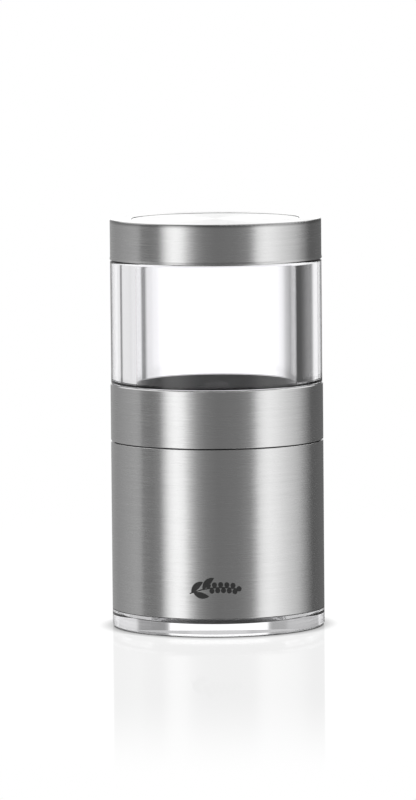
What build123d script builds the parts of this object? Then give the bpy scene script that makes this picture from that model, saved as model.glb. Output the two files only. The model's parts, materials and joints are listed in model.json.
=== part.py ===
from build123d import *

import math
import os

# Pepper mill, in millimetres. Z is the mill's axis and points up. The origin is the middle of the
# foot cap's underside. The lower half stands still, and the upper half turns on it.

# Heights of what shows from outside, from the table up.
CAP_FLANGE_TOP = 5.18
SLEEVE_BOTTOM = 5.23
SEAM = 52.71
COLLAR_TOP = 68.95
LID_BOTTOM = 103.92
LID_TOP = 115.30

# Radii of what shows from outside.
BODY_RADIUS = 30.0
TUBE_RADIUS = 29.8
LID_RADIUS = 29.8
LID_LIP_RADIUS = 29.97

# Walls and gaps.
STEEL_WALL = 0.8
SEAM_GAP = 0.3
RUNNING_GAP = 0.3
SLIP_GAP = 0.05

# Edges: a broken edge of sheet steel, a moulded edge, and a larger one that hands or peppercorns meet.
STEEL_EDGE = 0.15
MOULDED_EDGE = 0.3
GENEROUS_EDGE = 0.5

# Clear hopper tube.
BORE_RADIUS = 22.8
SHOULDER_ROUND = 0.9
POLISHED_EDGE = 0.15
NECK_RADIUS = 27.6
NECK_TOP = 111.85
SPIGOT_RADIUS = 27.0
SPIGOT_BOTTOM = 62.35
SOFT_RING = 0.8

# Lid.
INLAY_RADIUS = 23.6
INLAY_THICKNESS = 0.6
INLAY_DEPTH = 0.15
LID_ROUND = 0.5
LIP_HEIGHT = 0.8
LIP_ROUND = 0.2
SEAT_CLEARANCE = 0.1
LINER_RADIUS = 28.9
LINER_WALL = 1.15

# Collar, hopper base and the swivel that holds the two halves together.
COLLAR_BEVEL = 0.3
BASE_BOTTOM = 50.65
THROAT_RADIUS = 21.0
THROAT_TOP = 55.35
MOUTH_BOTTOM = 58.35
JOURNAL_RADIUS = 24.6
FLANGE_BOTTOM = 47.45
FLANGE_TOP = 49.35
SWIVEL_TOP = 47.15
SWIVEL_BOTTOM = 45.25
SWIVEL_RADIUS = 26.6
SPOKE_COUNT = 3
SPOKE_WIDTH = 3.0
SPOKE_BOTTOM = 51.35
SPOKE_TOP = 57.85
HUB_RADIUS = 5.6
HUB_BOTTOM = 49.85
HUB_TOP = 59.85

# Shaft and what it carries.
SHAFT_SQUARE = 5.0
THREAD_RADIUS = 2.5
THREAD_PITCH = 0.8
THREAD_DEPTH = 0.25
SHAFT_BOTTOM = 9.15
LOWER_THREAD_TOP = 14.75
UPPER_THREAD_BOTTOM = 59.95
SHAFT_TOP = 64.35
SHAFT_FLANGE_RADIUS = 5.0
SHAFT_FLANGE_BOTTOM = 48.35
WASHER_THICKNESS = 0.8
NUT_ACROSS_FLATS = 8.0
NUT_HEIGHT = 2.6
PADDLE_BOTTOM = 38.95
PADDLE_HUB_RADIUS = 5.4
PADDLE_REACH = 11.0
PADDLE_THICKNESS = 1.6
PADDLE_LEAN = 32

# Grinding set. The cone and the ring face each other across a slanted gap.
CONE_BOTTOM = 15.25
FINE_TOP = 20.85
CONE_TOP = 29.85
RING_TOP = 31.55
FINE_TEETH = 30
TOOTH_DEPTH = 0.75
COARSE_FLUTES = 6
FLUTE_RADIUS = 1.9
FLUTE_LENGTH = 22.0
FLUTE_TWIST = 35
FLUTE_LEAN = 30
FLUTE_INSET = 0.4
CONE_FOOT_RADIUS = 14.8
CONE_WAIST_RADIUS = 12.4
CONE_CROWN_RADIUS = 7.4
GRIND_GAP = 0.6
RING_RADIUS = 19.0
RING_MOUTH_RADIUS = 14.4
CARRIER_RADIUS = 5.3
CARRIER_FLANGE_RADIUS = 8.0
CARRIER_BOTTOM = 13.65
SPRING_RADIUS = 4.7
SPRING_WIRE = 0.8
SPRING_PITCH = 1.9
KNOB_RADIUS = 8.6
KNOB_BOTTOM = 8.35
KNOB_TOP = 13.55
KNOB_GRIPS = 12
INSERT_RADIUS = 3.8

# Inner housing of the lower half.
HOUSING_RADIUS = 29.1
HOUSING_WALL = 1.5
HOUSING_BOTTOM = 5.75
FUNNEL_TOP = 44.35
FUNNEL_BOTTOM = 33.75
SEAT_BOTTOM = 15.15
SEAT_RADIUS = 24.0
RIB_COUNT = 6
RIB_WIDTH = 1.6
CLAMP_THICKNESS = 2.0
CLAMP_BORE = 15.8

# Foot cap.
SOCKET_RADIUS = 22.3
CAP_RADIUS = 30.0
CAP_FOOT_ROUND = 0.9
CUP_RADIUS = 19.2
CUP_FLOOR = 2.85
CAP_SPIGOT_RADIUS = 21.8
CAP_SPIGOT_TOP = 12.75
CAP_HOLLOW_RADIUS = 25.5
CAP_HOLLOW_DEPTH = 0.35
CORD_RADIUS = 0.75
CORD_HEIGHT = 9.35
GROOVE_RADIUS = 20.7

# Countersunk screws, three to a ring.
SCREW_COUNT = 3
SCREW_RADIUS = 0.95
SCREW_HEAD_RADIUS = 1.5
SCREW_HEAD_HEIGHT = 0.8
SCREW_LENGTH = 7.0
DRIVE_SLOT = 0.5
DRIVE_SLOT_LENGTH = 2.4
SWIVEL_SCREW_CIRCLE = 22.8
CLAMP_SCREW_CIRCLE = 20.4

AXIS_TOLERANCE = 0.001


def turned(*points):
    """A solid turned about Z from (radius, height) corners."""
    outline = Polyline(*[(radius, 0, height) for radius, height in points], close=True)
    return revolve(make_face(outline), axis=Axis.Z)


def ring(inner, outer, bottom, top):
    """A plain ring, or a disc when the inner radius is 0."""
    return turned((inner, bottom), (outer, bottom), (outer, top), (inner, top))


def rims(shape, radius, height):
    """The round edges about Z that have this radius and height."""
    return [
        edge
        for edge in shape.edges().filter_by(GeomType.CIRCLE)
        if abs(edge.radius - radius) < AXIS_TOLERANCE
        and abs(edge.arc_center.Z - height) < AXIS_TOLERANCE
        and math.hypot(edge.arc_center.X, edge.arc_center.Y) < AXIS_TOLERANCE
    ]


def rounded(shape, size, *places):
    """The shape with its rims at these (radius, height) places rounded."""
    for radius, height in places:
        shape = fillet(rims(shape, radius, height), size)
    return shape


def bevelled(shape, size, *places):
    """The shape with its rims at these (radius, height) places chamfered."""
    for radius, height in places:
        shape = chamfer(rims(shape, radius, height), size)
    return shape


def around(piece, count, start=0.0):
    """Copies of one piece, evenly spaced about Z."""
    return [Rot(0, 0, start + 360 * index / count) * piece for index in range(count)]


def square_bar(width, bottom, top):
    """An upright square bar on the axis."""
    return Pos(0, 0, (bottom + top) / 2) * Box(width, width, top - bottom)


def threaded_end(bottom, top):
    """A round end with rings of thread cut into it."""
    end = ring(0, THREAD_RADIUS, bottom, top)
    root = THREAD_RADIUS - THREAD_DEPTH
    clear = THREAD_RADIUS + THREAD_DEPTH
    turns = int((top - bottom) / THREAD_PITCH) - 1
    for turn in range(turns):
        middle = bottom + THREAD_PITCH * (turn + 1)
        spread = THREAD_PITCH * 0.7
        end -= turned((root, middle), (clear, middle - spread), (clear, middle + spread))
    return end


def screw(circle, head_bottom):
    """A countersunk screw that points up, with its head's face at head_bottom."""
    head_top = head_bottom + SCREW_HEAD_HEIGHT
    body = turned(
        (0, head_bottom),
        (SCREW_HEAD_RADIUS, head_bottom),
        (SCREW_RADIUS, head_top),
        (SCREW_RADIUS, head_bottom + SCREW_LENGTH - SCREW_RADIUS),
        (0, head_bottom + SCREW_LENGTH),
    )
    slot = Pos(0, 0, head_bottom) * Box(DRIVE_SLOT, DRIVE_SLOT_LENGTH, DRIVE_SLOT * 2)
    cross = Rot(0, 0, 90) * slot
    return Pos(circle, 0, 0) * (body - slot - cross)


def screw_hole(circle, head_bottom):
    """The space that one of those screws fills."""
    head_top = head_bottom + SCREW_HEAD_HEIGHT
    space = turned(
        (0, head_bottom - 1),
        (SCREW_HEAD_RADIUS, head_bottom - 1),
        (SCREW_HEAD_RADIUS, head_bottom),
        (SCREW_RADIUS, head_top),
        (SCREW_RADIUS, head_bottom + SCREW_LENGTH + 0.5),
        (0, head_bottom + SCREW_LENGTH + 0.5),
    )
    return Pos(circle, 0, 0) * space


# Lid


def lid_shell():
    """Drawn steel cap: a straight skirt, a rolled lip and a sunken seat for the inlay."""
    inner = LID_RADIUS - STEEL_WALL
    seat = LID_TOP - INLAY_DEPTH - INLAY_THICKNESS
    seat_wall = INLAY_RADIUS + SEAT_CLEARANCE
    shell = turned(
        (inner, LID_BOTTOM),
        (LID_LIP_RADIUS, LID_BOTTOM),
        (LID_RADIUS, LID_BOTTOM + LIP_HEIGHT),
        (LID_RADIUS, LID_TOP),
        (seat_wall, LID_TOP),
        (seat_wall, seat),
        (0, seat),
        (0, seat - STEEL_WALL),
        (inner, seat - STEEL_WALL),
    )
    shell = rounded(shell, LID_ROUND, (LID_RADIUS, LID_TOP))
    shell = rounded(shell, LIP_ROUND, (LID_LIP_RADIUS, LID_BOTTOM))
    return rounded(shell, STEEL_EDGE, (seat_wall, LID_TOP))


def lid_top_disc():
    """Steel disc that lies in the lid's seat, a little below the rim."""
    top = LID_TOP - INLAY_DEPTH
    disc = ring(0, INLAY_RADIUS, top - INLAY_THICKNESS, top)
    return rounded(disc, STEEL_EDGE, (INLAY_RADIUS, top))


def lid_liner():
    """Plastic cup inside the lid. Its wall slips over the tube's neck."""
    top = LID_TOP - INLAY_DEPTH - INLAY_THICKNESS - STEEL_WALL
    bottom = LID_BOTTOM + 0.5
    inner = LINER_RADIUS - LINER_WALL
    liner = turned(
        (inner, bottom),
        (LINER_RADIUS, bottom),
        (LINER_RADIUS, top),
        (0, top),
        (0, top - LINER_WALL / 2),
        (inner, top - LINER_WALL / 2),
    )
    return bevelled(liner, MOULDED_EDGE, (inner, bottom))


def lid_seal():
    """Soft ring in the liner's corner, just above the neck's rim."""
    top = LID_TOP - INLAY_DEPTH - INLAY_THICKNESS - STEEL_WALL - LINER_WALL / 2
    inner = BORE_RADIUS + 0.6
    bottom = NECK_TOP + SLIP_GAP
    seal = ring(inner, LINER_RADIUS - LINER_WALL - SLIP_GAP, bottom, top)
    return rounded(seal, 0.2, (inner, bottom))


# Upper half


def hopper_tube():
    """Thick clear tube with a neck for the lid and a spigot that sits in the hopper base."""
    shoulder = COLLAR_TOP + SLIP_GAP
    tube = turned(
        (BORE_RADIUS, SPIGOT_BOTTOM),
        (SPIGOT_RADIUS, SPIGOT_BOTTOM),
        (SPIGOT_RADIUS, shoulder),
        (TUBE_RADIUS, shoulder),
        (TUBE_RADIUS, LID_BOTTOM),
        (NECK_RADIUS, LID_BOTTOM),
        (NECK_RADIUS, NECK_TOP),
        (BORE_RADIUS, NECK_TOP),
    )
    tube = rounded(tube, SHOULDER_ROUND, (TUBE_RADIUS, LID_BOTTOM))
    tube = rounded(tube, POLISHED_EDGE, (TUBE_RADIUS, shoulder))
    tube = rounded(tube, GENEROUS_EDGE, (NECK_RADIUS, NECK_TOP), (BORE_RADIUS, NECK_TOP))
    return bevelled(tube, MOULDED_EDGE, (SPIGOT_RADIUS, SPIGOT_BOTTOM))


def tube_gasket():
    """Soft flat ring between the tube's spigot and the hopper base."""
    return ring(BORE_RADIUS + 0.2, SPIGOT_RADIUS, SPIGOT_BOTTOM - SOFT_RING, SPIGOT_BOTTOM)


def collar_ring():
    """Steel ring round the hopper base, with a bevelled upper edge."""
    bottom = SEAM + SEAM_GAP / 2
    collar = ring(BODY_RADIUS - STEEL_WALL, BODY_RADIUS, bottom, COLLAR_TOP)
    collar = bevelled(collar, COLLAR_BEVEL, (BODY_RADIUS, COLLAR_TOP))
    return rounded(collar, STEEL_EDGE, (BODY_RADIUS, bottom))


def hopper_base():
    """Dark throat under the tube: socket, mouth, journal, and a hub on three spokes."""
    outer = BODY_RADIUS - STEEL_WALL - SLIP_GAP
    ledge = SPIGOT_BOTTOM - SOFT_RING
    below_seam = SEAM + SEAM_GAP / 2
    base = turned(
        (THROAT_RADIUS, SWIVEL_TOP),
        (JOURNAL_RADIUS, SWIVEL_TOP),
        (JOURNAL_RADIUS, BASE_BOTTOM),
        (outer - RUNNING_GAP, BASE_BOTTOM),
        (outer - RUNNING_GAP, below_seam),
        (outer, below_seam),
        (outer, COLLAR_TOP),
        (SPIGOT_RADIUS + SLIP_GAP, COLLAR_TOP),
        (SPIGOT_RADIUS + SLIP_GAP, ledge),
        (BORE_RADIUS, ledge),
        (BORE_RADIUS, MOUTH_BOTTOM),
        (THROAT_RADIUS, THROAT_TOP),
    )
    hub = bevelled(ring(0, HUB_RADIUS, HUB_BOTTOM, HUB_TOP), 0.6, (HUB_RADIUS, HUB_TOP))
    for spoke in around(hopper_spoke(), SPOKE_COUNT, start=90):
        hub += spoke
    base += hub
    base -= square_bar(SHAFT_SQUARE + 2 * SLIP_GAP, HUB_BOTTOM - 1, HUB_TOP + 1)
    for hole in around(screw_hole(SWIVEL_SCREW_CIRCLE, SWIVEL_BOTTOM), SCREW_COUNT, start=30):
        base -= hole
    return base


def hopper_spoke():
    """One spoke from the hub to the throat, with a ridged top that sheds peppercorns."""
    half = SPOKE_WIDTH / 2
    section = Polyline(
        (HUB_RADIUS - 1, -half, SPOKE_BOTTOM),
        (HUB_RADIUS - 1, half, SPOKE_BOTTOM),
        (HUB_RADIUS - 1, half, SPOKE_TOP - SPOKE_WIDTH),
        (HUB_RADIUS - 1, 0, SPOKE_TOP),
        (HUB_RADIUS - 1, -half, SPOKE_TOP - SPOKE_WIDTH),
        close=True,
    )
    length = THROAT_RADIUS + 0.8 - HUB_RADIUS + 1
    return extrude(make_face(section), amount=length, dir=(1, 0, 0))


def swivel_ring():
    """Ring under the journal that reaches below the housing's flange."""
    swivel = ring(THROAT_RADIUS, SWIVEL_RADIUS, SWIVEL_BOTTOM, SWIVEL_TOP)
    swivel = bevelled(swivel, GENEROUS_EDGE, (SWIVEL_RADIUS, SWIVEL_BOTTOM))
    for hole in around(screw_hole(SWIVEL_SCREW_CIRCLE, SWIVEL_BOTTOM), SCREW_COUNT, start=30):
        swivel -= hole
    return swivel


def swivel_screws():
    """Three screws through the swivel ring into the journal."""
    return Compound(around(screw(SWIVEL_SCREW_CIRCLE, SWIVEL_BOTTOM), SCREW_COUNT, start=30))


def drive_shaft():
    """Square shaft with a flange under the hub and a thread at each end."""
    shaft = square_bar(SHAFT_SQUARE, LOWER_THREAD_TOP, UPPER_THREAD_BOTTOM)
    shaft += ring(0, SHAFT_FLANGE_RADIUS, SHAFT_FLANGE_BOTTOM, HUB_BOTTOM)
    shaft += threaded_end(SHAFT_BOTTOM, LOWER_THREAD_TOP)
    return shaft + threaded_end(UPPER_THREAD_BOTTOM, SHAFT_TOP)


def shaft_washer():
    """Washer between the hub and the cap nut."""
    washer = ring(THREAD_RADIUS + SLIP_GAP, HUB_RADIUS - 0.8, HUB_TOP, HUB_TOP + WASHER_THICKNESS)
    square_below = square_bar(SHAFT_SQUARE + 2 * SLIP_GAP, HUB_TOP, UPPER_THREAD_BOTTOM)
    return washer - square_below


def shaft_nut():
    """Domed cap nut on the shaft's upper thread."""
    bottom = HUB_TOP + WASHER_THICKNESS
    corner = NUT_ACROSS_FLATS / math.sqrt(3)
    nut = Pos(0, 0, bottom) * extrude(RegularPolygon(corner, 6), amount=NUT_HEIGHT)
    nut &= bevelled(ring(0, corner, bottom, bottom + NUT_HEIGHT), 0.4, (corner, bottom + NUT_HEIGHT))
    dome_radius = NUT_ACROSS_FLATS / 2 - 0.6
    nut += rounded(ring(0, dome_radius, bottom, SHAFT_TOP + 0.5), 1.2, (dome_radius, SHAFT_TOP + 0.5))
    return nut - ring(0, THREAD_RADIUS + SLIP_GAP, bottom - 1, SHAFT_TOP + 0.1)


def feed_paddle():
    """Hub on the shaft with two leaning blades that stir peppercorns down."""
    top = SHAFT_FLANGE_BOTTOM
    hub = ring(0, PADDLE_HUB_RADIUS, PADDLE_BOTTOM, top)
    hub = bevelled(hub, 0.4, (PADDLE_HUB_RADIUS, PADDLE_BOTTOM))
    length = PADDLE_REACH - THREAD_RADIUS - 1
    height = top - PADDLE_BOTTOM - 2
    blade = Box(length, PADDLE_THICKNESS, height)
    blade = fillet(blade.edges().filter_by(Axis.Y).group_by(Axis.X)[-1], 1.5)
    blade = Pos(PADDLE_REACH - length / 2, 0, (top + PADDLE_BOTTOM) / 2) * Rot(PADDLE_LEAN, 0, 0) * blade
    for copy in around(blade, 2):
        hub += copy
    return hub - square_bar(SHAFT_SQUARE + 2 * SLIP_GAP, PADDLE_BOTTOM - 1, top + 1)


# Grinding cone and its adjustment


def tooth_groove(foot_radius, waist_radius, depth):
    """A V-shaped groove along a slanted face. A positive depth cuts outward, a negative one inward."""
    slope = (foot_radius - waist_radius) / (FINE_TOP - CONE_BOTTOM)
    half_width = abs(depth) + 0.1
    sections = []
    for radius, height in ((foot_radius + slope, CONE_BOTTOM - 1), (waist_radius - slope, FINE_TOP + 1)):
        corners = Polyline(
            (radius + depth, 0, height),
            (radius - depth, -half_width, height),
            (radius - depth, half_width, height),
            close=True,
        )
        sections.append(make_face(corners))
    return loft(sections)


def grinding_cone():
    """Ceramic rotor: fine teeth round the foot and flutes on the crown that draw peppercorns in."""
    cone = turned(
        (CARRIER_RADIUS, CONE_BOTTOM),
        (CONE_FOOT_RADIUS, CONE_BOTTOM),
        (CONE_WAIST_RADIUS, FINE_TOP),
        (CONE_CROWN_RADIUS, CONE_TOP),
        (CARRIER_RADIUS, CONE_TOP),
    )
    groove = tooth_groove(CONE_FOOT_RADIUS, CONE_WAIST_RADIUS, -TOOTH_DEPTH)
    for copy in around(groove, FINE_TEETH):
        cone -= copy
    place = Pos(CONE_WAIST_RADIUS - FLUTE_INSET, 0, CONE_TOP - 2)
    flute = place * Rot(FLUTE_TWIST, -FLUTE_LEAN, 0) * Cylinder(FLUTE_RADIUS, FLUTE_LENGTH)
    for copy in around(flute, COARSE_FLUTES):
        cone -= copy
    return cone


def cone_carrier():
    """Plastic core of the cone, with a square hole that slides on the shaft."""
    carrier = turned(
        (0, CARRIER_BOTTOM),
        (CARRIER_FLANGE_RADIUS, CARRIER_BOTTOM),
        (CARRIER_FLANGE_RADIUS, CONE_BOTTOM),
        (CARRIER_RADIUS, CONE_BOTTOM),
        (CARRIER_RADIUS, CONE_TOP),
        (0, CONE_TOP),
    )
    return carrier - square_bar(SHAFT_SQUARE + 2 * SLIP_GAP, CARRIER_BOTTOM - 1, CONE_TOP + 1)


def pressure_spring():
    """Coil spring between the cone and the thrust washer."""
    bottom = CONE_TOP + SPRING_WIRE / 2 + 0.05
    height = PADDLE_BOTTOM - WASHER_THICKNESS - CONE_TOP - SPRING_WIRE - 0.1
    path = Pos(0, 0, bottom) * Helix(pitch=SPRING_PITCH, height=height, radius=SPRING_RADIUS)
    start = Plane(origin=path @ 0, z_dir=path % 0)
    return sweep(start * Circle(SPRING_WIRE / 2), path=path, is_frenet=True)


def thrust_washer():
    """Washer that the spring's upper end bears on."""
    top = PADDLE_BOTTOM
    washer = ring(0, PADDLE_HUB_RADIUS, top - WASHER_THICKNESS, top)
    return washer - square_bar(SHAFT_SQUARE + 2 * SLIP_GAP, top - 2, top + 1)


def adjust_knob():
    """Knob under the grinder, with grip notches round it and a pointer notch below."""
    knob = ring(INSERT_RADIUS, KNOB_RADIUS, KNOB_BOTTOM, KNOB_TOP)
    knob = rounded(knob, GENEROUS_EDGE, (KNOB_RADIUS, KNOB_BOTTOM))
    notch = Pos(KNOB_RADIUS + 0.6, 0, (KNOB_BOTTOM + KNOB_TOP) / 2) * Cylinder(1.3, KNOB_TOP)
    for copy in around(notch, KNOB_GRIPS):
        knob -= copy
    pointer_length = KNOB_RADIUS - INSERT_RADIUS - 2.4
    pointer = Pos((KNOB_RADIUS + INSERT_RADIUS) / 2 - 0.4, 0, KNOB_BOTTOM) * Box(pointer_length, 0.8, 0.8)
    return knob - Rot(0, 0, 180 / KNOB_GRIPS) * pointer


def knob_insert():
    """Brass nut pressed into the knob. It runs on the shaft's lower thread."""
    insert = ring(THREAD_RADIUS + SLIP_GAP, INSERT_RADIUS, KNOB_BOTTOM + 0.3, KNOB_TOP)
    return bevelled(insert, MOULDED_EDGE, (THREAD_RADIUS + SLIP_GAP, KNOB_BOTTOM + 0.3))


# Lower half


def lower_sleeve():
    """Steel casing of the lower half, with eased edges."""
    top = SEAM - SEAM_GAP / 2
    sleeve = ring(BODY_RADIUS - STEEL_WALL, BODY_RADIUS, SLEEVE_BOTTOM, top)
    return rounded(sleeve, STEEL_EDGE, (BODY_RADIUS, SLEEVE_BOTTOM), (BODY_RADIUS, top))


def inner_housing():
    """Plastic body inside the sleeve: wall, top flange, funnel, grinder seat, cap socket and ribs."""
    wall_inner = HOUSING_RADIUS - HOUSING_WALL
    flange_bore = JOURNAL_RADIUS + RUNNING_GAP
    wall = ring(wall_inner, HOUSING_RADIUS, HOUSING_BOTTOM, FLANGE_TOP)
    flange = ring(flange_bore, wall_inner + 0.5, FLANGE_BOTTOM, FLANGE_TOP)
    funnel = turned(
        (RING_MOUTH_RADIUS, FUNNEL_BOTTOM),
        (wall_inner, FUNNEL_TOP),
        (wall_inner + 0.5, FUNNEL_TOP),
        (wall_inner + 0.5, FUNNEL_TOP - 2 * HOUSING_WALL),
        (SEAT_RADIUS, FUNNEL_BOTTOM + HOUSING_WALL),
        (SEAT_RADIUS, RING_TOP),
        (RING_MOUTH_RADIUS, RING_TOP),
    )
    seat = ring(RING_RADIUS + SLIP_GAP, SEAT_RADIUS, SEAT_BOTTOM, RING_TOP)
    socket = ring(SOCKET_RADIUS, SEAT_RADIUS, HOUSING_BOTTOM, SEAT_BOTTOM)
    web = ring(SEAT_RADIUS - 0.5, wall_inner + 0.5, HOUSING_BOTTOM, HOUSING_BOTTOM + HOUSING_WALL)
    housing = wall + flange + funnel + seat + socket + web
    for rib in around(housing_rib(), RIB_COUNT):
        housing += rib
    for hole in around(screw_hole(CLAMP_SCREW_CIRCLE, SEAT_BOTTOM - CLAMP_THICKNESS), SCREW_COUNT):
        housing -= hole
    return housing


def housing_rib():
    """One upright rib between the grinder seat and the wall."""
    inner = SEAT_RADIUS - 0.4
    outer = HOUSING_RADIUS - HOUSING_WALL + 0.4
    height = FUNNEL_BOTTOM - HOUSING_BOTTOM
    middle = Pos((inner + outer) / 2, 0, HOUSING_BOTTOM + height / 2)
    return middle * Box(outer - inner, RIB_WIDTH, height)


def glide_ring():
    """Slippery ring on the housing's flange that the upper half rides on."""
    return ring(JOURNAL_RADIUS + 0.6, HOUSING_RADIUS - 0.3, FLANGE_TOP, BASE_BOTTOM - 0.2)


def stator_ring():
    """Ceramic ring round the cone: a wide mouth, then a slanted face with fine teeth."""
    foot = CONE_FOOT_RADIUS + GRIND_GAP
    waist = CONE_WAIST_RADIUS + GRIND_GAP
    stator = turned(
        (foot, CONE_BOTTOM),
        (RING_RADIUS, CONE_BOTTOM),
        (RING_RADIUS, RING_TOP),
        (RING_MOUTH_RADIUS, RING_TOP),
        (waist, FINE_TOP + 3),
        (waist, FINE_TOP),
    )
    groove = tooth_groove(foot, waist, TOOTH_DEPTH)
    for copy in around(groove, FINE_TEETH + 1):
        stator -= copy
    return stator


def stator_clamp():
    """Ring that holds the stator up in its seat."""
    bottom = SEAT_BOTTOM - CLAMP_THICKNESS
    clamp = ring(CLAMP_BORE, SOCKET_RADIUS - 0.1, bottom, SEAT_BOTTOM)
    clamp = bevelled(clamp, GENEROUS_EDGE, (CLAMP_BORE, bottom))
    for hole in around(screw_hole(CLAMP_SCREW_CIRCLE, bottom), SCREW_COUNT):
        clamp -= hole
    return clamp


def clamp_screws():
    """Three screws through the clamp into the housing's seat."""
    bottom = SEAT_BOTTOM - CLAMP_THICKNESS
    return Compound(around(screw(CLAMP_SCREW_CIRCLE, bottom), SCREW_COUNT))


# Foot cap


def foot_cap():
    """Clear cap that the mill stands on: a thick flange, a shallow cup and a spigot with a groove."""
    half_groove = CORD_RADIUS + SLIP_GAP
    cap = turned(
        (0, CAP_HOLLOW_DEPTH),
        (CAP_HOLLOW_RADIUS, CAP_HOLLOW_DEPTH),
        (CAP_HOLLOW_RADIUS, 0),
        (CAP_RADIUS, 0),
        (CAP_RADIUS, CAP_FLANGE_TOP),
        (CAP_SPIGOT_RADIUS, CAP_FLANGE_TOP),
        (CAP_SPIGOT_RADIUS, CORD_HEIGHT - half_groove),
        (GROOVE_RADIUS, CORD_HEIGHT - half_groove),
        (GROOVE_RADIUS, CORD_HEIGHT + half_groove),
        (CAP_SPIGOT_RADIUS, CORD_HEIGHT + half_groove),
        (CAP_SPIGOT_RADIUS, CAP_SPIGOT_TOP),
        (CUP_RADIUS, CAP_SPIGOT_TOP),
        (CUP_RADIUS, CUP_FLOOR),
        (0, CUP_FLOOR),
    )
    cap = rounded(cap, CAP_FOOT_ROUND, (CAP_RADIUS, 0))
    cap = rounded(cap, POLISHED_EDGE, (CAP_RADIUS, CAP_FLANGE_TOP))
    cap = rounded(cap, MOULDED_EDGE, (CUP_RADIUS, CUP_FLOOR))
    return bevelled(cap, MOULDED_EDGE, (CAP_SPIGOT_RADIUS, CAP_SPIGOT_TOP))


def cap_seal():
    """O-ring in the spigot's groove."""
    return Pos(0, 0, CORD_HEIGHT) * Torus(GROOVE_RADIUS + CORD_RADIUS + SLIP_GAP, CORD_RADIUS)


PIECES = (
    lid_shell,
    lid_top_disc,
    lid_liner,
    lid_seal,
    hopper_tube,
    tube_gasket,
    collar_ring,
    hopper_base,
    swivel_ring,
    swivel_screws,
    drive_shaft,
    shaft_washer,
    shaft_nut,
    feed_paddle,
    grinding_cone,
    cone_carrier,
    pressure_spring,
    thrust_washer,
    adjust_knob,
    knob_insert,
    lower_sleeve,
    inner_housing,
    glide_ring,
    stator_ring,
    stator_clamp,
    clamp_screws,
    foot_cap,
    cap_seal,
)

os.makedirs("parts", exist_ok=True)
for piece in PIECES:
    export_step(piece(), f"parts/{piece.__name__}.step")
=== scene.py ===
import json
import math

import bmesh
import bpy
from mathutils import Matrix, Vector


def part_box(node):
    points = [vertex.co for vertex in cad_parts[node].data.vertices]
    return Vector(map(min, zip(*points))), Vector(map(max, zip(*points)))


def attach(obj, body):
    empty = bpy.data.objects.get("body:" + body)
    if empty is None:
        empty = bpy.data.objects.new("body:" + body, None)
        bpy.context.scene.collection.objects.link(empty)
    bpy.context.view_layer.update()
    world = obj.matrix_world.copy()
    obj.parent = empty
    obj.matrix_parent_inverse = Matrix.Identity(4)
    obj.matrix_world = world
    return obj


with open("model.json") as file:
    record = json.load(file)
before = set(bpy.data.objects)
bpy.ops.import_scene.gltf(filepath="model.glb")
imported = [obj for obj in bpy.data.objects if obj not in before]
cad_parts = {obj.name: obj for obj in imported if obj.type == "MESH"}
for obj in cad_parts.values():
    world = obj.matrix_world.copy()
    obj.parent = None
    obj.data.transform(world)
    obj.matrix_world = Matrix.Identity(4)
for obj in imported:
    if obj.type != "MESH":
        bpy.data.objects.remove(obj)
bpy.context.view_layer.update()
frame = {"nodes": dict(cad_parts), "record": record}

MM = 0.001
NODES = frame["nodes"]

# The camera stands in front of the mill (towards -Y), a little above it, and looks down on it.
CAMERA_PLACE = Vector((0.0, -1.8, 0.23045))
CAMERA_LENS = 288.0
CAMERA_SENSOR = 36.0
LOOK_DOWN = math.radians(5.29)
LOOK_LEFT = math.radians(0.08)
LEAN_RIGHT = math.radians(0.49)

# The lights round the mill, as (compass direction, brightness). Direction 0 is behind the mill, 90 is on
# its right, and 180 is the camera's side. Between two directions the brightness changes evenly.
# ROOM is what the steel mirrors: a bright window on the left, a wide one on the right, dim walls between.
ROOM = (
    (-180, 0.25), (-167, 0.3), (-158, 0.44), (-150, 0.82), (-142, 1.5), (-134, 1.7), (-126, 1.5),
    (-119, 0.85), (-114, 0.36), (-104, 0.22), (-91, 0.22), (-87, 0.44), (-80, 0.49), (-40, 0.37),
    (0, 0.4), (8, 0.16), (33, 0.16), (55, 0.14), (62, 0.25), (70, 0.42), (81, 0.7), (99, 1.0),
    (113, 1.32), (122, 1.45), (129, 1.32), (134, 1.1), (138, 0.68), (144, 0.36), (157, 0.27),
    (180, 0.25),
)
# BACKDROP is what shows through the clear parts looking down: a white sheet, a grey card on its left
# and a dark one on its right. LOW_BACKDROP is the same looking up, which mostly the foot's light does.
BACKDROP = (
    (-180, 1.1), (-64, 1.1), (-60, 0.85), (-27, 0.8), (-25, 0.2), (-21, 0.2), (-19, 0.85),
    (-12, 1.0), (-9, 1.25), (10, 1.25), (16, 0.9), (19, 0.5), (23, 0.26), (30, 0.2), (38, 0.13),
    (48, 0.06), (60, 0.04), (64, 1.1), (180, 1.1),
)
LOW_BACKDROP = (
    (-180, 1.1), (-64, 1.1), (-60, 0.55), (-30, 0.5), (-28, 0.4), (-20, 0.36), (-18, 1.2),
    (18, 1.2), (20, 0.3), (36, 0.34), (39, 0.75), (60, 0.85), (64, 1.1), (180, 1.1),
)
# The brightness at the top of the ramps' scale.
BRIGHTEST = 2.0
# The sheet behind the mill, and the height (as the upward part of a direction) where the ceiling starts.
SHEET_HALF_WIDTH = 0.16
SHEET_LIGHT = 1.46
OVERHEAD_START = 0.34
OVERHEAD_DARK = 0.05

# The table top: its size, its contact shadow's reach, its faint shine, and where the shine fades out.
# Seen through the clear parts, the table carries painted shade around the mill, from the foot's edge
# (FOOT_EDGE) out to where NEAR_FLOOR fades the painted shade away. Lengths are in metres, measured from
# the mill's axis.
FLOOR_RADIUS = 0.5
SHADOW_REACH = 0.006
FLOOR_SHINE = 0.14
SHINE_FADES = (0.14, 0.29)
FOOT_EDGE = (0.030, 0.032)
NEAR_FLOOR = (0.05, 0.09)
NEAR_FLOOR_SHADE = 0.6

# How far the brushing bends the steel's surface from side to side.
STEEL_SWAY = 0.045
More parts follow.
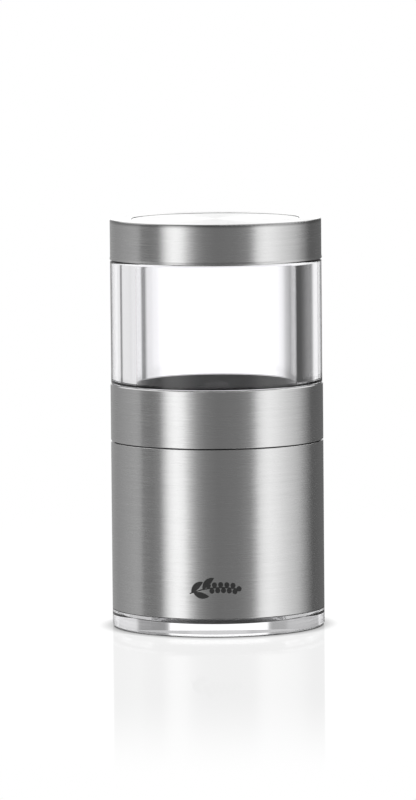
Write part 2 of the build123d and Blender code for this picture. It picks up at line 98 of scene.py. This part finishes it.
# How dark the painted shade along the lid's upper edge is, as a share of the steel's brightness: a
# painted dark reflection of the lid's rounded edge.
PAINTED_EDGE_SHADE = 0.5

# The etched mark on the lower sleeve: a plain sprig of peppercorns. Sizes are in mm, on the sleeve
# unrolled.
SLEEVE_RADIUS = 30.0
MARK_CENTRE = (-1.5, 13.3)
MARK_PROUD = 0.03
STEM_HALF_WIDTH = 0.16
LEAF_LENGTH = 4.6
LEAF_HALF_WIDTH = 0.85
BERRY_RADIUS = 0.72
BERRY_GAP = 1.6
# The least half width of a stroke, and the number of pieces along a leaf or a berry.
STROKE_TIP = 0.03
STROKE_STEPS = 12


# Node helpers


def add_node(tree, kind, **settings):
    """A new node. Settings named after its inputs fill those, and the others are its own properties."""
    node = tree.nodes.new(kind)
    for name, value in settings.items():
        if hasattr(node, name):
            setattr(node, name, value)
        else:
            node.inputs[name.replace("_", " ")].default_value = value
    return node


def wire(tree, source, target):
    tree.links.new(source, target)


def feed(tree, socket, value):
    """Links an output to a socket, or sets the socket to a plain number."""
    if isinstance(value, bpy.types.NodeSocket):
        wire(tree, value, socket)
    else:
        socket.default_value = value


def maths(tree, operation, *values):
    node = add_node(tree, "ShaderNodeMath", operation=operation)
    for socket, value in zip(node.inputs, values):
        feed(tree, socket, value)
    return node.outputs[0]


def vector_maths(tree, operation, *values):
    node = add_node(tree, "ShaderNodeVectorMath", operation=operation)
    for socket, value in zip(node.inputs, values):
        feed(tree, socket, value)
    return node.outputs["Vector"]


def scale_vector(tree, vector, size):
    node = add_node(tree, "ShaderNodeVectorMath", operation="SCALE")
    wire(tree, vector, node.inputs[0])
    feed(tree, node.inputs["Scale"], size)
    return node.outputs["Vector"]


def object_place(tree):
    """Where the shaded point is, in the object's own coordinates."""
    return add_node(tree, "ShaderNodeTexCoord").outputs["Object"]


def split(tree, vector):
    """The x, y and z outputs of a vector."""
    node = add_node(tree, "ShaderNodeSeparateXYZ")
    wire(tree, vector, node.inputs[0])
    return tuple(node.outputs)


def spread(tree, value, low, high, to_low=0.0, to_high=1.0, smooth=False):
    """Maps low..high onto to_low..to_high."""
    node = add_node(tree, "ShaderNodeMapRange", clamp=True)
    if smooth:
        node.interpolation_type = "SMOOTHSTEP"
    for socket, number in zip(node.inputs, (value, low, high, to_low, to_high)):
        feed(tree, socket, number)
    return node.outputs[0]


def blend_values(tree, share, first, second):
    """Share 0 gives the first value, 1 the second. The node's second input is for vectors only."""
    node = add_node(tree, "ShaderNodeMix", data_type="FLOAT")
    for socket, value in zip(node.inputs, (share, None, first, second)):
        if value is not None:
            feed(tree, socket, value)
    return node.outputs[0]


def compass_ramp(tree, direction, stops):
    """Brightness by compass direction, as a colour ramp through the stops."""
    node = add_node(tree, "ShaderNodeValToRGB")
    ramp = node.color_ramp
    while len(ramp.elements) < len(stops):
        ramp.elements.new(0.5)
    for element, (degrees, brightness) in zip(ramp.elements, stops):
        element.position = (degrees + 180) / 360
        element.color = (brightness / BRIGHTEST,) * 3 + (1,)
    wire(tree, direction, node.inputs[0])
    return maths(tree, "MULTIPLY", node.outputs[0], BRIGHTEST)


# Room, floor and camera


def studio_world():
    """A soft studio: lights round the mill, a white sheet behind it, a ceiling, and cards."""
    world = bpy.data.worlds.new("studio")
    bpy.context.scene.world = world
    world.use_nodes = True
    tree = world.node_tree
    tree.nodes.clear()
    place = add_node(tree, "ShaderNodeTexCoord").outputs["Generated"]
    x, y, z = split(tree, place)
    angle = maths(tree, "ARCTAN2", x, y)
    direction = maths(tree, "MULTIPLY_ADD", angle, 0.5 / math.pi, 0.5)
    sideways = maths(tree, "ABSOLUTE", x)
    behind = spread(tree, y, 0.0, 0.1)
    middle = spread(tree, sideways, SHEET_HALF_WIDTH, SHEET_HALF_WIDTH * 1.3, 1.0, 0.0)
    raised = spread(tree, z, 0.0, 0.03)
    sheet = maths(tree, "MULTIPLY", behind, middle)
    sheet = maths(tree, "MULTIPLY", sheet, raised)
    overhead = spread(tree, y, -0.3, 0.05, OVERHEAD_DARK, SHEET_LIGHT)
    mirrored = blend_values(tree, sheet, compass_ramp(tree, direction, ROOM), SHEET_LIGHT)
    high = spread(tree, z, OVERHEAD_START, OVERHEAD_START + 0.1, smooth=True)
    mirrored = blend_values(tree, high, mirrored, overhead)
    rays = add_node(tree, "ShaderNodeLightPath")
    rising = maths(tree, "GREATER_THAN", z, 0.0)
    looking_down = compass_ramp(tree, direction, BACKDROP)
    looking_up = compass_ramp(tree, direction, LOW_BACKDROP)
    through = blend_values(tree, rising, looking_down, looking_up)
    light = blend_values(tree, rays.outputs["Is Transmission Ray"], mirrored, through)
    light = blend_values(tree, rays.outputs["Is Camera Ray"], light, 1.0)
    background = add_node(tree, "ShaderNodeBackground", Color=(1, 1, 1, 1))
    wire(tree, light, background.inputs["Strength"])
    out = add_node(tree, "ShaderNodeOutputWorld")
    wire(tree, background.outputs[0], out.inputs[0])


def studio_floor():
    """A round white table top."""
    mesh = bpy.data.meshes.new("floor")
    shape = bmesh.new()
    bmesh.ops.create_circle(shape, cap_ends=True, segments=96, radius=FLOOR_RADIUS)
    shape.to_mesh(mesh)
    shape.free()
    floor = bpy.data.objects.new("floor", mesh)
    bpy.context.scene.collection.objects.link(floor)
    floor.visible_glossy = False
    mesh.materials.append(white_table())


def white_table():
    """The table top's own glow, dimmed by the contact shadow, under a faint shine. Seen through the clear
    parts, painted shade darkens it near the mill.
    """
    material = bpy.data.materials.new("white_table")
    material.use_nodes = True
    tree = material.node_tree
    tree.nodes.clear()
    shade = add_node(tree, "ShaderNodeAmbientOcclusion", samples=16, Distance=SHADOW_REACH)
    soft = spread(tree, shade.outputs["AO"], 0.1, 0.9, 0.04, 1.0)
    away = add_node(tree, "ShaderNodeVectorMath", operation="LENGTH")
    wire(tree, object_place(tree), away.inputs[0])
    distance = away.outputs["Value"]
    # Painted shade: for rays through the clear parts, the table's glow is darker near the mill.
    under = spread(tree, distance, *FOOT_EDGE, 1.0, NEAR_FLOOR_SHADE)
    beyond = spread(tree, distance, *NEAR_FLOOR, NEAR_FLOOR_SHADE, 1.0, smooth=True)
    near = maths(tree, "MAXIMUM", under, beyond)
    seen_through = add_node(tree, "ShaderNodeLightPath").outputs["Is Transmission Ray"]
    dimmed = blend_values(tree, seen_through, 1.0, near)
    glow = add_node(tree, "ShaderNodeEmission")
    wire(tree, maths(tree, "MULTIPLY", soft, dimmed), glow.inputs["Strength"])
    shine = add_node(tree, "ShaderNodeBsdfGlossy", Roughness=0.05)
    fade = spread(tree, distance, *SHINE_FADES, FLOOR_SHINE, 0.0, smooth=True)
    mix = add_node(tree, "ShaderNodeMixShader")
    wire(tree, fade, mix.inputs["Fac"])
    wire(tree, glow.outputs[0], mix.inputs[1])
    wire(tree, shine.outputs[0], mix.inputs[2])
    out = add_node(tree, "ShaderNodeOutputMaterial")
    wire(tree, mix.outputs[0], out.inputs[0])
    return material


def studio_camera():
    camera = bpy.data.objects.new("camera", bpy.data.cameras.new("camera"))
    camera.data.lens = CAMERA_LENS
    camera.data.sensor_width = CAMERA_SENSOR
    camera.data.clip_end = 50.0
    look = Vector((-math.sin(LOOK_LEFT), math.cos(LOOK_LEFT), 0)) * math.cos(LOOK_DOWN)
    look.z = -math.sin(LOOK_DOWN)
    right = Vector((math.cos(LOOK_LEFT), math.sin(LOOK_LEFT), 0))
    up = right.cross(look)
    lean = Matrix.Rotation(LEAN_RIGHT, 3, look)
    columns = (lean @ right, lean @ up, -look)
    camera.matrix_world = Matrix.Translation(CAMERA_PLACE) @ Matrix(columns).transposed().to_4x4()
    bpy.context.scene.collection.objects.link(camera)
    bpy.context.scene.camera = camera
    bpy.context.scene.view_settings.view_transform = "Standard"


# Materials


def new_material(name):
    """A material with one Principled shader. Returns the material, its tree and the shader."""
    material = bpy.data.materials.new(name)
    material.use_nodes = True
    tree = material.node_tree
    shader = tree.nodes["Principled BSDF"]
    return material, tree, shader


def stretched_noise(tree, across, along, detail=2.0):
    """Noise drawn out round the mill. Across is its size up and down and along its size round, in mm."""
    place = object_place(tree)
    size = add_node(tree, "ShaderNodeMapping", vector_type="TEXTURE")
    size.inputs["Scale"].default_value = (along * MM, along * MM, across * MM)
    wire(tree, place, size.inputs["Vector"])
    noise = add_node(tree, "ShaderNodeTexNoise", Scale=1.0, Detail=detail, Roughness=0.6)
    wire(tree, size.outputs[0], noise.inputs["Vector"])
    return noise.outputs[0]


def grain(tree, size, detail=3.0):
    """Even noise with grains of this size in mm."""
    return stretched_noise(tree, size, size, detail)


def grey(tree, tone):
    """A grey colour of this brightness."""
    colour = add_node(tree, "ShaderNodeCombineColor")
    for socket in colour.inputs[:3]:
        wire(tree, tone, socket)
    return colour.outputs[0]


def steel_colour(tree, streaks, low, high):
    """Grey that varies with the streaks."""
    return grey(tree, spread(tree, streaks, 0.25, 0.75, low, high))


def brushed_steel(name):
    """Stainless steel brushed round the mill: lights smear up and down, and stay crisp sideways."""
    material, tree, shader = new_material(name)
    shader.inputs["Metallic"].default_value = 1.0
    shader.inputs["Anisotropic"].default_value = 1.0
    shader.inputs["Anisotropic Rotation"].default_value = 0.25
    tangent = add_node(tree, "ShaderNodeTangent", direction_type="RADIAL", axis="Z")
    wire(tree, tangent.outputs[0], shader.inputs["Tangent"])
    fine = stretched_noise(tree, 0.14, 14)
    long = stretched_noise(tree, 0.5, 40)
    streaks = blend_values(tree, 0.35, fine, long)
    wire(tree, steel_colour(tree, streaks, 0.585, 0.665), shader.inputs["Base Color"])
    wire(tree, spread(tree, fine, 0.3, 0.7, 0.22, 0.28), shader.inputs["Roughness"])
    waves = stretched_noise(tree, 0.25, 5)
    sway = maths(tree, "MULTIPLY", maths(tree, "SUBTRACT", waves, 0.5), STEEL_SWAY)
    normal = add_node(tree, "ShaderNodeNewGeometry").outputs["Normal"]
    bent = vector_maths(tree, "ADD", normal, scale_vector(tree, tangent.outputs[0], sway))
    wire(tree, vector_maths(tree, "NORMALIZE", bent), shader.inputs["Normal"])
    return material


def lid_steel():
    """The same steel, with its colour darkened along the lid's upper edge as a painted dark reflection of
    the rounded edge.
    """
    material = brushed_steel("lid_steel")
    tree = material.node_tree
    shader = tree.nodes["Principled BSDF"]
    streaks = shader.inputs["Base Color"].links[0].from_socket
    height = split(tree, object_place(tree))[2]
    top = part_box("lid_shell")[1][2]
    below = maths(tree, "SUBTRACT", top, height)
    # Painted shade: the steel's colour darkens just below the lid's top, standing in for the rounded
    # edge's dark reflection.
    edge = spread(tree, below, 0.35 * MM, 1.3 * MM, PAINTED_EDGE_SHADE, 1.0, smooth=True)
    flat = spread(tree, below, 0.02 * MM, 0.12 * MM, 1.0, 0.0)
    tone = maths(tree, "MAXIMUM", edge, flat)
    wire(tree, scale_vector(tree, streaks, tone), shader.inputs["Base Color"])
    return material


def plain_steel():
    """Bright turned steel of the small inner parts."""
    material, tree, shader = new_material("plain_steel")
    shader.inputs["Metallic"].default_value = 1.0
    wire(tree, steel_colour(tree, grain(tree, 0.4), 0.52, 0.6), shader.inputs["Base Color"])
    wire(tree, spread(tree, grain(tree, 0.2), 0.3, 0.7, 0.22, 0.34), shader.inputs["Roughness"])
    return material


def turned_brass():
    material, tree, shader = new_material("turned_brass")
    shader.inputs["Metallic"].default_value = 1.0
    tint = add_node(tree, "ShaderNodeMix", data_type="RGBA")
    wire(tree, stretched_noise(tree, 0.1, 5), tint.inputs["Factor"])
    tint.inputs["A"].default_value = (0.72, 0.5, 0.2, 1)
    tint.inputs["B"].default_value = (0.86, 0.64, 0.3, 1)
    wire(tree, tint.outputs["Result"], shader.inputs["Base Color"])
    shader.inputs["Roughness"].default_value = 0.28
    return material


def moulded_plastic(name, dark, light, roughness, bump):
    """Moulded plastic: a fine even grain in its colour, its gloss and its surface."""
    material, tree, shader = new_material(name)
    tint = add_node(tree, "ShaderNodeMix", data_type="RGBA")
    wire(tree, grain(tree, 1.5), tint.inputs["Factor"])
    tint.inputs["A"].default_value = (*dark, 1)
    tint.inputs["B"].default_value = (*light, 1)
    wire(tree, tint.outputs["Result"], shader.inputs["Base Color"])
    fine = grain(tree, 0.15)
    gloss = spread(tree, fine, 0.3, 0.7, roughness - 0.05, roughness + 0.05)
    wire(tree, gloss, shader.inputs["Roughness"])
    relief = add_node(tree, "ShaderNodeBump", Strength=bump, Distance=0.05 * MM)
    wire(tree, fine, relief.inputs["Height"])
    wire(tree, relief.outputs[0], shader.inputs["Normal"])
    return material


def fired_ceramic():
    """Matt off-white ceramic with faint specks."""
    material = moulded_plastic("fired_ceramic", (0.72, 0.7, 0.65), (0.84, 0.82, 0.78), 0.5, 0.4)
    tree = material.node_tree
    shader = tree.nodes["Principled BSDF"]
    base = shader.inputs["Base Color"].links[0].from_socket
    specks = spread(tree, grain(tree, 0.35, 1.0), 0.68, 0.74)
    tint = add_node(tree, "ShaderNodeMix", data_type="RGBA")
    wire(tree, specks, tint.inputs["Factor"])
    wire(tree, base, tint.inputs["A"])
    tint.inputs["B"].default_value = (0.4, 0.37, 0.32, 1)
    wire(tree, tint.outputs["Result"], shader.inputs["Base Color"])
    return material


def clear_acrylic():
    """Polished clear acrylic, with a trace of lavender and the slightest unevenness of its polish."""
    material, tree, shader = new_material("clear_acrylic")
    shader.inputs["Transmission Weight"].default_value = 1.0
    shader.inputs["IOR"].default_value = 1.49
    tint = add_node(tree, "ShaderNodeMix", data_type="RGBA")
    wire(tree, grain(tree, 20), tint.inputs["Factor"])
    tint.inputs["A"].default_value = (0.965, 0.962, 0.978, 1)
    tint.inputs["B"].default_value = (0.975, 0.972, 0.985, 1)
    wire(tree, tint.outputs["Result"], shader.inputs["Base Color"])
    wire(tree, spread(tree, grain(tree, 4), 0.4, 0.7, 0.0, 0.012), shader.inputs["Roughness"])
    return material


def etched_grey():
    """Dark, matt etched metal of the mark."""
    material, tree, shader = new_material("etched_grey")
    shader.inputs["Metallic"].default_value = 0.5
    streaks = stretched_noise(tree, 0.12, 3)
    wire(tree, steel_colour(tree, streaks, 0.035, 0.06), shader.inputs["Base Color"])
    shader.inputs["Roughness"].default_value = 0.55
    return material


# Etched mark


def bent_line(start, heading, length, bend, steps=STROKE_STEPS):
    """Points of a line that sets off at a heading and turns evenly by bend, both in degrees."""
    points = [Vector(start)]
    for step in range(steps):
        angle = math.radians(heading + bend * step / steps)
        points.append(points[-1] + Vector((math.cos(angle), math.sin(angle))) * length / steps)
    return points


def leaf(start, heading, bend):
    """A leaf as (points, half widths): pointed at both ends."""
    points = bent_line(start, heading, LEAF_LENGTH, bend)
    shares = [index / STROKE_STEPS for index in range(len(points))]
    widths = [LEAF_HALF_WIDTH * math.sin(math.pi * share) ** 0.8 + STROKE_TIP for share in shares]
    return points, widths


def berry(centre):
    """A round peppercorn as (points, half widths)."""
    points = bent_line(centre - Vector((BERRY_RADIUS, 0)), 0, 2 * BERRY_RADIUS, 0)
    squares = [BERRY_RADIUS ** 2 - (point - centre).length ** 2 for point in points]
    widths = [math.sqrt(max(square, 0)) + STROKE_TIP for square in squares]
    return points, widths


def sprig():
    """Every stroke of the mark: a stem, three leaves at its foot and peppercorns in pairs along it."""
    stem = bent_line((-6.6, -1.0), 22, 13.4, -34, steps=24)
    strokes = [(stem, [STEM_HALF_WIDTH] * len(stem))]
    strokes += [leaf(stem[1], 62, -40), leaf(stem[2], -28, 30), leaf(stem[7], 66, -44)]
    for index in range(10, 24, 3):
        along = (stem[index + 1] - stem[index]).normalized()
        across = Vector((-along.y, along.x)) * BERRY_GAP / 2
        strokes += [berry(stem[index] + across), berry(stem[index] - across + along * BERRY_GAP / 2)]
    return strokes + [berry(stem[-1] + Vector((BERRY_RADIUS, 0)))]


def on_sleeve(flat, radius):
    """A point of the unrolled mark, wrapped round the mill at this radius, in metres."""
    turn = (flat.x + MARK_CENTRE[0]) / SLEEVE_RADIUS
    return Vector((radius * math.sin(turn), -radius * math.cos(turn), flat.y + MARK_CENTRE[1])) * MM


def add_stroke(shape, points, widths):
    """One closed strip, bedded in the sleeve and just proud of it."""
    rows = []
    for index, (point, width) in enumerate(zip(points, widths)):
        before, after = points[max(index - 1, 0)], points[min(index + 1, len(points) - 1)]
        along = (after - before).normalized()
        side = Vector((-along.y, along.x)) * width
        outer, inner = SLEEVE_RADIUS + MARK_PROUD, SLEEVE_RADIUS - MARK_PROUD
        corners = ((side, outer), (-side, outer), (-side, inner), (side, inner))
        rows.append([shape.verts.new(on_sleeve(point + offset, radius)) for offset, radius in corners])
    for row, following in zip(rows, rows[1:]):
        for corner in range(4):
            follower = (corner + 1) % 4
            shape.faces.new((row[corner], row[follower], following[follower], following[corner]))
    shape.faces.new(rows[0])
    shape.faces.new(rows[-1])


def etched_mark():
    """The sprig as one mesh that rides on the lower half."""
    shape = bmesh.new()
    for points, widths in sprig():
        add_stroke(shape, points, widths)
    bmesh.ops.recalc_face_normals(shape, faces=shape.faces)
    mesh = bpy.data.meshes.new("etched_mark")
    shape.to_mesh(mesh)
    shape.free()
    mesh.materials.append(etched_grey())
    mark = bpy.data.objects.new("etched_mark", mesh)
    bpy.context.scene.collection.objects.link(mark)
    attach(mark, "lower_body")


def dress_nodes():
    """Gives every CAD node the finish of its slot in the record, and the lid's casing its own."""
    finishes = {
        "brushed_steel": brushed_steel("brushed_steel"),
        "plain_steel": plain_steel(),
        "brass": turned_brass(),
        "clear_acrylic": clear_acrylic(),
        "dark_plastic": moulded_plastic(
            "dark_plastic", (0.016, 0.016, 0.017), (0.026, 0.026, 0.028), roughness=0.3, bump=0.25
        ),
        "lid_plastic": moulded_plastic(
            "lid_plastic", (0.04, 0.04, 0.043), (0.055, 0.055, 0.06), roughness=0.35, bump=0.25
        ),
        "glide_plastic": moulded_plastic(
            "glide_plastic", (0.72, 0.72, 0.7), (0.8, 0.8, 0.78), roughness=0.35, bump=0.15
        ),
        "seal": moulded_plastic("seal", (0.05, 0.05, 0.05), (0.08, 0.08, 0.08), roughness=0.6, bump=0.4),
        "grinder_ceramic": fired_ceramic(),
    }
    for part in frame["record"]["subparts"]:
        node = NODES[part["node"]]
        for place in node.material_slots:
            place.material = finishes[part["material_slot"]]
    for place in NODES["lid_shell"].material_slots:
        place.material = lid_steel()


studio_world()
studio_floor()
studio_camera()
dress_nodes()
etched_mark()
